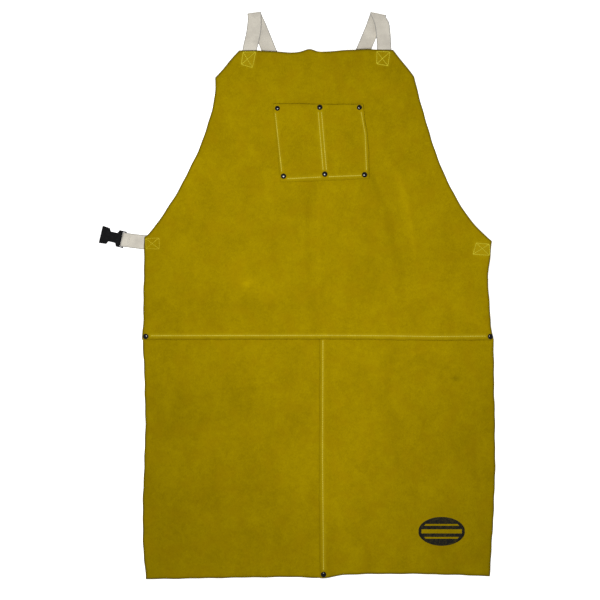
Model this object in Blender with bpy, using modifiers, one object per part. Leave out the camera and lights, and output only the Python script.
"""Welding apron of suede split leather with cross-back webbing straps, laid flat with its front up.

Metres, +Z up. Inside the script, x is measured from the apron's centreline and y from its hem, both
carried by the empty apron_frame, which puts the middle of the whole object's box at the world origin.
The underside of the straps lies at z = 0. Moving pieces hang from empties that stand on their joints.
"""

import math

import bmesh
import bpy
from mathutils import Matrix, Vector

# The whole object's box is centred on the world origin by this shift.
FRAME_X = 0.0388
FRAME_Y = -0.4885

# Leather. Each outline point is (x, y).
LEATHER = 0.0014
GAP = 0.0003
LAP_STEP = LEATHER + GAP
NECK_Y = 0.913
NECK_LEFT = -0.139
NECK_RIGHT = 0.127
ARMHOLE_LEFT = ((-0.180, 0.866), (-0.175, 0.762), (-0.289, 0.5915), (-0.303, 0.590))
ARMHOLE_RIGHT = ((0.164, 0.867), (0.188, 0.772), (0.220, 0.643), (0.2985, 0.583))
SIDE_LEFT = (
    *((-0.301, 0.0), (-0.306, 0.064), (-0.306, 0.134)),
    *((-0.302, 0.272), (-0.306, 0.425), (-0.3045, 0.508)),
)
SIDE_RIGHT = (
    *((0.295, 0.0), (0.301, 0.099), (0.3045, 0.203), (0.3018, 0.383)),
    *((0.3018, 0.416), (0.2965, 0.437), (0.2915, 0.522)),
)
HEM = ((-0.310, -0.005), (0.0, -0.001), (0.050, 0.003), (0.310, 0.002))
SEAM_Y = 0.412
SEAM_X = 0.0005
LAP = 0.012
JOGGLE = 0.003

# Height of the leather's underside above the floor: (y, height).
BIB_LEVEL = 0.0080
SEAM_LEVEL = 0.0050
HEM_LEVEL = 0.0013
LAPPED_LEVEL = SEAM_LEVEL + LAP_STEP
BIB_HEIGHTS = ((SEAM_Y, LAPPED_LEVEL), (0.440, LAPPED_LEVEL), (0.490, BIB_LEVEL), (1.0, BIB_LEVEL))
SKIRT_HEIGHTS = ((0.0, HEM_LEVEL), (0.305, HEM_LEVEL), (0.395, SEAM_LEVEL), (1.0, SEAM_LEVEL))
POCKET = ((-0.067, 0.685), (0.086, 0.691), (0.0845, 0.745), (0.0755, 0.820), (-0.080, 0.820))

# Rivets: domed cap with its shank, and a flat back cap.
CAP_RADIUS = 0.0047
CAP_HEIGHT = 0.0021
SHANK_RADIUS = 0.0015
BURR_RADIUS = 0.0045
BURR = 0.0010
POCKET_RIVETS = (
    ("top_left", -0.0727, 0.8129),
    ("top_middle", 0.0005, 0.8143),
    ("top_right", 0.0689, 0.8143),
    ("bottom_left", -0.0623, 0.6950),
    ("bottom_middle", 0.0092, 0.6985),
    ("bottom_right", 0.0780, 0.6975),
)
RIVETS = (
    *((f"pocket_{name}", x, y, BIB_LEVEL, ("bib_panel", "chest_pocket")) for name, x, y in POCKET_RIVETS),
    ("seam_left", -0.3010, 0.4175, SEAM_LEVEL, ("bib_panel", "lower_left_panel")),
    ("seam_right", 0.2960, 0.4173, SEAM_LEVEL, ("bib_panel", "lower_right_panel")),
    ("hem", 0.0070, 0.0048, HEM_LEVEL, ("lower_left_panel", "lower_right_panel")),
)

# Webbing: heights are those of its middle plane.
WEBBING = 0.0015
WEBBING_WIDTH = 0.025
LOW_RUN = WEBBING / 2
MID_RUN = 0.00305
SEWN_RUN = BIB_LEVEL - GAP - WEBBING / 2
LEFT_SEWN_END = (-0.1247, 0.884)
LEFT_CREASE = (-0.1131, 0.9775)
LEFT_TURN = (0.0748, 0.5123)
LEFT_WAIST_END = (0.2900, 0.5710)
RIGHT_SEWN_END = (0.1133, 0.884)
RIGHT_CREASE = (0.0989, 0.9760)
ADJUSTER_TAIL = 0.060

# Side release buckle: lengths along the nose are measured from the middle of the webbing bar.
PLUG_BAR = (-0.0659, 0.5361)
PLUG_LEVEL = 0.0046
PLUG_THICKNESS = 0.0056
PLUG_HALF_WIDTH = 0.0144
PLUG_FACE = 0.0140
PLUG_BAR_RADIUS = 0.0010
ARM_LENGTH = 0.0235
ARM_ROOT_Y = 0.0105
SPINE_LENGTH = 0.0215
RECEIVER_BAR = (-0.3387, 0.5850)
RECEIVER_ANGLE = math.radians(166.8)
RECEIVER_LEVEL = 0.0045
RECEIVER_THICKNESS = 0.0090
RECEIVER_LENGTH = 0.0413
RECEIVER_BAR_RADIUS = 0.0013
SOCKET_START = 0.0155
SOCKET_HALF_WIDTH = 0.0122
SOCKET_HEIGHT = 0.0060
RAIL_INSIDE = 0.01295

# Side tab: it folds up about a line just outside the leather's edge.
TAB_FOLD = (-0.3075, 0.5810)
TAB_ANCHOR_END = (-0.2765, 0.5795)
TAB_CLEARANCE = 0.0020

ROUND_STEPS = 20
FOLD_STEPS = 8

PARTS = "welding_apron"
CUTTERS = "cutters"
MATERIALS = {}


def clear_scene():
    for obj in list(bpy.data.objects):
        bpy.data.objects.remove(obj, do_unlink=True)


def collection(name):
    found = bpy.data.collections.get(name)
    if found is None:
        found = bpy.data.collections.new(name)
        bpy.context.scene.collection.children.link(found)
    return found


def material(name, colour, roughness, metallic=0.0):
    made = bpy.data.materials.new(name)
    made.use_nodes = True
    shader = made.node_tree.nodes["Principled BSDF"]
    shader.inputs["Base Color"].default_value = (*colour, 1.0)
    shader.inputs["Roughness"].default_value = roughness
    shader.inputs["Metallic"].default_value = metallic
    made.diffuse_color = (*colour, 1.0)
    MATERIALS[name] = made


def empty(name, location, angle=0.0, parent=None):
    made = bpy.data.objects.new(name, None)
    made.location = location
    made.rotation_euler.z = angle
    made.parent = parent
    collection(PARTS).objects.link(made)
    return made


def add(name, mesh, finish, parent, location=(0.0, 0.0, 0.0)):
    """A part made of this mesh. It gets a material of its own."""
    obj = bpy.data.objects.new(name, mesh)
    obj.location = location
    obj.parent = parent
    own = MATERIALS[finish].copy()
    own.name = name
    obj.data.materials.clear()
    obj.data.materials.append(own)
    collection(PARTS).objects.link(obj)
    return obj


def add_cutter(name, mesh, parent, location=(0.0, 0.0, 0.0)):
    obj = bpy.data.objects.new(name, mesh)
    obj.location = location
    obj.parent = parent
    obj.hide_render = True
    obj.display_type = "WIRE"
    collection(CUTTERS).objects.link(obj)
    return obj


def boolean(obj, other, operation="DIFFERENCE"):
    modifier = obj.modifiers.new(other.name, "BOOLEAN")
    modifier.operation = operation
    modifier.object = other
    modifier.solver = "EXACT"


def thicken(obj, thickness, offset):
    modifier = obj.modifiers.new("thickness", "SOLIDIFY")
    modifier.thickness = thickness
    modifier.offset = offset
    modifier.use_even_offset = True


def soften(obj, width):
    modifier = obj.modifiers.new("rounded edges", "BEVEL")
    modifier.width = width
    modifier.segments = 2
    modifier.limit_method = "ANGLE"
    modifier.angle_limit = math.radians(35)


def mesh_from(bm, name):
    mesh = bpy.data.meshes.new(name)
    bm.to_mesh(mesh)
    bm.free()
    return mesh


def box_mesh(name, low, high):
    low, high = Vector(low), Vector(high)
    bm = bmesh.new()
    matrix = Matrix.Translation((low + high) / 2) @ Matrix.Diagonal((*(high - low), 1.0))
    bmesh.ops.create_cube(bm, size=1.0, matrix=matrix)
    return mesh_from(bm, name)


def rod_mesh(name, radius, length, turn=Matrix.Identity(4)):
    """A cylinder centred on its origin, along z before it is turned."""
    bm = bmesh.new()
    bmesh.ops.create_cone(
        bm,
        cap_ends=True,
        segments=ROUND_STEPS,
        radius1=radius,
        radius2=radius,
        depth=length,
        matrix=turn,
    )
    return mesh_from(bm, name)


def grid_mesh(name, columns, rows, place, wanted=None):
    """A grid of columns by rows points, each moved to place(column, row), with its faces up.

    wanted(column, row) says whether the face that starts at that point is kept."""
    bm = bmesh.new()
    bmesh.ops.create_grid(bm, x_segments=columns - 1, y_segments=rows - 1, size=1.0)
    step_of = {}
    for vert in bm.verts:
        column = round((vert.co.x + 1) / 2 * (columns - 1))
        row = round((vert.co.y + 1) / 2 * (rows - 1))
        step_of[vert] = (column, row)
    if wanted:
        first = {face: tuple(map(min, zip(*(step_of[v] for v in face.verts)))) for face in bm.faces}
        gone = [face for face, start in first.items() if not wanted(*start)]
        bmesh.ops.delete(bm, geom=gone, context="FACES")
    for vert in bm.verts:
        vert.co = place(*step_of[vert])
    return mesh_from(bm, name)


def outline_mesh(name, points, thickness):
    """The plate inside a closed outline, its thickness centred on z = 0."""
    curve = bpy.data.curves.new(name, "CURVE")
    curve.dimensions = "2D"
    curve.fill_mode = "BOTH"
    curve.extrude = thickness / 2
    spline = curve.splines.new("POLY")
    spline.points.add(len(points) - 1)
    spline.use_cyclic_u = True
    for point, (x, y) in zip(spline.points, points):
        point.co = (x, y, 0.0, 1.0)
    guide = bpy.data.objects.new(name, curve)
    bpy.context.scene.collection.objects.link(guide)
    graph = bpy.context.evaluated_depsgraph_get()
    mesh = bpy.data.meshes.new_from_object(guide.evaluated_get(graph))
    bpy.data.objects.remove(guide)
    bm = bmesh.new()
    bm.from_mesh(mesh)
    bmesh.ops.remove_doubles(bm, verts=bm.verts, dist=1e-6)
    bmesh.ops.recalc_face_normals(bm, faces=bm.faces)
    bm.to_mesh(mesh)
    bm.free()
    return mesh


def mirrored(half):
    """A closed outline from the points of its +y half, listed from one end of the x axis to the other."""
    return [*half, *((x, -y) for x, y in reversed(half))]


def turned(name, profile, finish, parent, location, closed=False):
    """A turned piece: the profile of (radius, height) points, spun about z."""
    bm = bmesh.new()
    verts = [bm.verts.new((radius, 0.0, height)) for radius, height in profile]
    for first, second in zip(verts, verts[1:]):
        bm.edges.new((first, second))
    if closed:
        bm.edges.new((verts[-1], verts[0]))
    obj = add(name, mesh_from(bm, name), finish, parent, location)
    modifier = obj.modifiers.new("turned", "SCREW")
    modifier.steps = ROUND_STEPS
    modifier.render_steps = ROUND_STEPS
    modifier.use_merge_vertices = True
    modifier.merge_threshold = 0.00001
    return obj


def between(value, points):
    """Straight interpolation in a short table of (value, result)."""
    if value <= points[0][0]:
        return points[0][1]
    for (start, low), (end, high) in zip(points, points[1:]):
        if value <= end:
            return low + (high - low) * (value - start) / (end - start)
    return points[-1][1]


def bezier_x(points, y):
    """Where a cubic curve that falls all the way passes height y."""
    low, high = 0.0, 1.0
    for _ in range(40):
        t = (low + high) / 2
        u = 1 - t
        weights = (u**3, 3 * u * u * t, 3 * u * t * t, t**3)
        x, height = (sum(w * p[axis] for w, p in zip(weights, points)) for axis in (0, 1))
        if height > y:
            low = t
        else:
            high = t
    return x


def edge_x(y, side, armhole, neck_x):
    """The leather's outline on one side, at height y."""
    shoulder_x, shoulder_y = armhole[0]
    corner_x, corner_y = armhole[-1]
    if y >= shoulder_y:
        return between(y, ((shoulder_y, shoulder_x), (NECK_Y, neck_x)))
    if y >= corner_y:
        return bezier_x(armhole, y)
    return between(y, (*((height, x) for x, height in side), (corner_y, corner_x)))


def left_x(y):
    return edge_x(y, SIDE_LEFT, ARMHOLE_LEFT, NECK_LEFT)


def right_x(y):
    return edge_x(y, SIDE_RIGHT, ARMHOLE_RIGHT, NECK_RIGHT)


def bib_panel(root):
    """The upper panel. Its lower edge laps over the two lower panels."""
    rows = [SEAM_Y, 0.440, 0.490, 0.522, ARMHOLE_RIGHT[-1][1], ARMHOLE_LEFT[-1][1], 0.600, 0.620]
    rows += [0.645, 0.675, 0.710, 0.745, 0.780, 0.825, ARMHOLE_LEFT[0][1], NECK_Y]
    columns = 5

    def place(column, row):
        y = rows[row]
        share = column / (columns - 1)
        x = left_x(y) * (1 - share) + right_x(y) * share
        return (x, y, between(y, BIB_HEIGHTS))

    obj = add("bib_panel", grid_mesh("bib_panel", columns, len(rows), place), "leather", root)
    thicken(obj, LEATHER, 1.0)


def skirt_rows():
    return [0.0, 0.064, 0.134, 0.203, 0.305, 0.395, SEAM_Y - GAP, SEAM_Y + LAP]


def skirt_y(x, y):
    """The hem isn't quite straight, so the lowest row follows it."""
    return between(x, HEM) if y == 0.0 else y


def lower_left_panel(root):
    rows = skirt_rows()
    edge = SEAM_X + LAP
    columns = 4

    def place(column, row):
        share = column / (columns - 1)
        y = rows[row]
        x = left_x(y) * (1 - share) + edge * share
        return (x, skirt_y(x, y), between(y, SKIRT_HEIGHTS))

    mesh = grid_mesh("lower_left_panel", columns, len(rows), place)
    thicken(add("lower_left_panel", mesh, "leather", root), LEATHER, 1.0)


def lower_right_panel(root):
    """This panel's left edge steps up and laps over the lower left panel, up to the edge of the bib."""
    rows = skirt_rows()
    step_end = SEAM_X + LAP + JOGGLE + GAP
    lap_columns = (SEAM_X, SEAM_X + LAP + GAP, step_end)

    def place(column, row):
        y = rows[row]
        share = (column - 2) / 2
        x = lap_columns[column] if column < 2 else step_end * (1 - share) + right_x(y) * share
        lift = LAP_STEP if column < 2 else 0.0
        return (x, skirt_y(x, y), between(y, SKIRT_HEIGHTS) + lift)

    def wanted(column, row):
        return column >= 2 or row < len(rows) - 2

    mesh = grid_mesh("lower_right_panel", 5, len(rows), place, wanted)
    thicken(add("lower_right_panel", mesh, "leather", root), LEATHER, 1.0)


def chest_pocket(root):
    mesh = outline_mesh("chest_pocket", POCKET, LEATHER)
    add("chest_pocket", mesh, "leather", root, (0.0, 0.0, BIB_LEVEL + LAP_STEP + LEATHER / 2))


def rivets(root):
    """Each rivet's shank passes through two layers of leather and a back cap with clearance."""
    stack = LAP_STEP + LEATHER
    dome = [
        (CAP_RADIUS * math.sin(turn), CAP_HEIGHT * (0.35 + 0.65 * math.cos(turn)))
        for turn in (math.pi / 2 * step / 6 for step in range(7))
    ]
    shank_end = -(stack + 2 * GAP + BURR)
    cap = [*dome, (CAP_RADIUS, 0.0), (SHANK_RADIUS, 0.0), (SHANK_RADIUS, shank_end), (0.0, shank_end)]
    hole = SHANK_RADIUS + GAP
    burr = [(BURR_RADIUS, BURR), (BURR_RADIUS, 0.0), (hole, 0.0), (hole, BURR)]
    for name, x, y, base, layers in RIVETS:
        turned(f"rivet_cap_{name}", cap, "rivet", root, (x, y, base + stack + GAP))
        turned(f"rivet_burr_{name}", burr, "rivet", root, (x, y, base - GAP - BURR), closed=True)
        drill = rod_mesh(f"drill_{name}", hole, 4 * stack)
        cutter = add_cutter(f"drill_{name}", drill, root, (x, y, base + stack / 2))
        for layer in layers:
            boolean(bpy.data.objects[layer], cutter)


def ribbon(name, stations, parent, location=(0.0, 0.0, 0.0)):
    """Webbing whose two edges pass through each station's two points."""

    def place(column, row):
        return stations[row][column]

    obj = add(name, grid_mesh(name, 2, len(stations), place), "webbing", parent, location)
    thicken(obj, WEBBING, 0.0)
    return obj


def folded_stations(runs):
    """Stations along flat straight runs of webbing, each folded over the end of the one before.

    A run is a list of (x, y, height) points on its middle line. At a fold the crease lies across both
    runs, and the webbing turns over round it."""
    stations = []
    side = 1
    for index, run in enumerate(runs):
        points = [Vector(point) for point in run]
        along = (points[-1] - points[0]).xy.normalized()
        across = Vector((-along.y, along.x)) * side
        inner = points[1:-1] if index else points[:-1]
        if index == len(runs) - 1:
            inner = points[1:]
        for point in inner:
            shift = (across * WEBBING_WIDTH / 2).to_3d()
            stations.append((point + shift, point - shift))
        if index == len(runs) - 1:
            break
        following = [Vector(point) for point in runs[index + 1]]
        after = (following[-1] - following[0]).xy.normalized()
        crease = (along + after).normalized()
        half = (crease * WEBBING_WIDTH / 2 / crease.dot(across)).to_3d()
        outward = (along - crease * along.dot(crease)).normalized().to_3d()
        drop = (points[-1].z - following[0].z) / 2
        middle = Vector((*points[-1].xy, points[-1].z - drop))
        for step in range(FOLD_STEPS + 1):
            turn = math.pi * step / FOLD_STEPS
            centre = middle + outward * abs(drop) * math.sin(turn)
            centre.z += drop * math.cos(turn)
            stations.append((centre + half, centre - half))
        side = -side
    return stations


def shoulder_straps(root):
    """Both straps are sewn behind the bib's top corners and cross behind the wearer's back."""
    waist = Vector(LEFT_WAIST_END) - Vector(LEFT_TURN)
    rise = [Vector(LEFT_TURN) + waist * share for share in (0.62, 0.82)]
    left = [
        [(*LEFT_SEWN_END, SEWN_RUN), (*LEFT_CREASE, SEWN_RUN)],
        [(*LEFT_CREASE, MID_RUN), (*LEFT_TURN, MID_RUN)],
        [(*LEFT_TURN, LOW_RUN), (*rise[0], LOW_RUN), (*rise[1], SEWN_RUN), (*LEFT_WAIST_END, SEWN_RUN)],
    ]
    right = [
        [(*RIGHT_SEWN_END, SEWN_RUN), (*RIGHT_CREASE, SEWN_RUN)],
        [(*RIGHT_CREASE, LOW_RUN), (*PLUG_BAR, LOW_RUN)],
    ]
    ribbon("shoulder_strap_left", folded_stations(left), root)
    ribbon("shoulder_strap_right", folded_stations(right), root)


def round_bar(radius):
    """Profile of webbing that passes round a bar at the origin, from above it to below it."""
    loop = radius + GAP + WEBBING / 2
    turns = (math.pi * (0.5 - step / FOLD_STEPS) for step in range(FOLD_STEPS + 1))
    return [(loop * math.cos(turn), loop * math.sin(turn)) for turn in turns]


def across_stations(profile):
    """Stations of webbing that runs along x, from its (x, height) profile."""
    half = WEBBING_WIDTH / 2
    return [(Vector((x, -half, z)), Vector((x, half, z))) for x, z in profile]


def adjuster_loop(plug):
    """The strap's end, round the plug's bar and back on itself as a free tail."""
    low = PLUG_LEVEL - (LOW_RUN + WEBBING + GAP)
    profile = [
        (-ADJUSTER_TAIL, -low + WEBBING + GAP),
        (-0.012, -low + WEBBING + GAP),
        *round_bar(PLUG_BAR_RADIUS),
        (-ADJUSTER_TAIL, -low),
    ]
    ribbon("adjuster_loop", across_stations(profile), plug)


def side_tab(root, fold):
    """Webbing sewn behind the waist, and the free tab that folds and holds the receiver's bar."""
    fold_x, fold_y = TAB_FOLD
    start = Vector((fold_x + TAB_CLEARANCE, fold_y + 0.0003, SEWN_RUN))
    end = Vector((*TAB_ANCHOR_END, SEWN_RUN))
    shift = Vector((0.0, WEBBING_WIDTH / 2, 0.0))
    ribbon("side_tab_anchor", [(end + shift, end - shift), (start + shift, start - shift)], root)

    bar = Vector((*RECEIVER_BAR, RECEIVER_LEVEL)) - Vector((*TAB_FOLD, SEWN_RUN))
    nose = Vector((math.cos(RECEIVER_ANGLE), math.sin(RECEIVER_ANGLE), 0.0))
    along_bar = Vector((-nose.y, nose.x, 0.0)) * (-WEBBING_WIDTH / 2)
    first = Vector((-WEBBING / 10, 0.0, 0.0))
    stations = [(first + shift, first - shift)]
    lower_end = [(-0.010, -0.0010), (-0.024, -0.00055)]
    for x, z in (*round_bar(RECEIVER_BAR_RADIUS), *lower_end):
        centre = bar + nose * x + Vector((0.0, 0.0, z))
        stations.append((centre + along_bar, centre - along_bar))
    ribbon("side_tab_webbing", stations, fold)


def bar_between_rails(body, name, radius, parent):
    turn = Matrix.Rotation(math.pi / 2, 4, "X")
    rod = add_cutter(f"{name}_bar", rod_mesh(f"{name}_bar", radius, 2 * RAIL_INSIDE + 0.0014, turn), parent)
    boolean(body, rod, "UNION")


def cut_box(body, name, low, high, parent):
    boolean(body, add_cutter(name, box_mesh(name, low, high), parent))


def buckle_receiver(bar):
    """Female half: a flat socket, open at its mouth and at both sides of its waist."""
    half = [
        (-0.0017, 0.0146),
        (0.0110, 0.0146),
        (0.0135, 0.0089),
        (0.0260, 0.0089),
        (0.0285, 0.0142),
        (0.0405, 0.0154),
        (RECEIVER_LENGTH, 0.0146),
    ]
    mesh = outline_mesh("buckle_receiver", mirrored(half), RECEIVER_THICKNESS)
    body = add("buckle_receiver", mesh, "buckle", bar)
    soften(body, 0.0006)
    thick = RECEIVER_THICKNESS
    wide = 0.02
    far = RECEIVER_LENGTH + 0.01
    high = SOCKET_HEIGHT / 2
    low_corner = (SOCKET_START, -SOCKET_HALF_WIDTH, -high)
    cut_box(body, "socket", low_corner, (far, SOCKET_HALF_WIDTH, high), bar)
    cut_box(body, "receiver_slot", (-0.01, -RAIL_INSIDE, -thick), (0.0050, RAIL_INSIDE, thick), bar)
    cut_box(body, "rail_top", (-0.01, -wide, high - 0.0004), (0.0065, wide, thick), bar)
    cut_box(body, "rail_bottom", (-0.01, -wide, -thick), (0.0065, wide, -high + 0.0004), bar)
    bar_between_rails(body, "receiver", RECEIVER_BAR_RADIUS, bar)


def buckle_plug(bar):
    """Male half: a frame with its webbing bar, and the guide spine between the two release arms."""
    half = [
        (-0.0016, PLUG_HALF_WIDTH),
        (0.0110, PLUG_HALF_WIDTH),
        (PLUG_FACE, PLUG_HALF_WIDTH - 0.0012),
    ]
    mesh = outline_mesh("buckle_plug", mirrored(half), PLUG_THICKNESS)
    body = add("buckle_plug", mesh, "buckle", bar)
    soften(body, 0.0005)
    thick = PLUG_THICKNESS
    cut_box(body, "plug_slot", (-0.01, -RAIL_INSIDE, -thick), (0.0050, RAIL_INSIDE, thick), bar)
    bar_between_rails(body, "plug", PLUG_BAR_RADIUS, bar)
    spine = mirrored([(PLUG_FACE - 0.002, 0.0022), (PLUG_FACE + SPINE_LENGTH - 0.002, 0.0016),
                      (PLUG_FACE + SPINE_LENGTH, 0.0008)])
    boolean(body, add_cutter("spine", outline_mesh("spine", spine, 0.0030), bar), "UNION")


def release_arms(bar):
    """Two sprung arms, each with the shoulder that a finger presses. They turn about their roots."""
    outer = [(0.0, 0.0012), (0.0080, 0.0022), (0.0125, 0.0036)]
    outer += [(0.0160, 0.0036), (0.0205, 0.0012), (ARM_LENGTH, -0.0010)]
    inner = [(ARM_LENGTH, -0.0024), (0.0160, -0.0002), (0.0080, -0.0004), (0.0, -0.0012)]
    for name, side in (("left", 1), ("right", -1)):
        pivot = empty(f"{name}_arm_pivot", (PLUG_FACE + 0.0004, side * ARM_ROOT_Y, 0.0), parent=bar)
        outline = [(x, side * y) for x, y in (*outer, *inner)]
        add(f"release_arm_{name}", outline_mesh(f"release_arm_{name}", outline, 0.0036), "buckle", pivot)


def main():
    clear_scene()
    material("leather", (0.31, 0.21, 0.01), 0.95)
    material("webbing", (0.60, 0.56, 0.49), 0.9)
    material("buckle", (0.012, 0.012, 0.014), 0.35)
    material("rivet", (0.02, 0.02, 0.022), 0.3, 0.7)

    root = empty("apron_frame", (FRAME_X, FRAME_Y, 0.0))
    fold = empty("side_tab_fold", (*TAB_FOLD, SEWN_RUN), parent=root)
    receiver = empty("receiver_bar_axis", (*RECEIVER_BAR, RECEIVER_LEVEL), RECEIVER_ANGLE, root)
    run = Vector(PLUG_BAR) - Vector(RIGHT_CREASE)
    plug = empty("plug_bar_axis", (*PLUG_BAR, PLUG_LEVEL), math.atan2(run.y, run.x), root)

    bib_panel(root)
    lower_left_panel(root)
    lower_right_panel(root)
    chest_pocket(root)
    rivets(root)
    shoulder_straps(root)
    side_tab(root, fold)
    buckle_receiver(receiver)
    adjuster_loop(plug)
    buckle_plug(plug)
    release_arms(plug)


main()
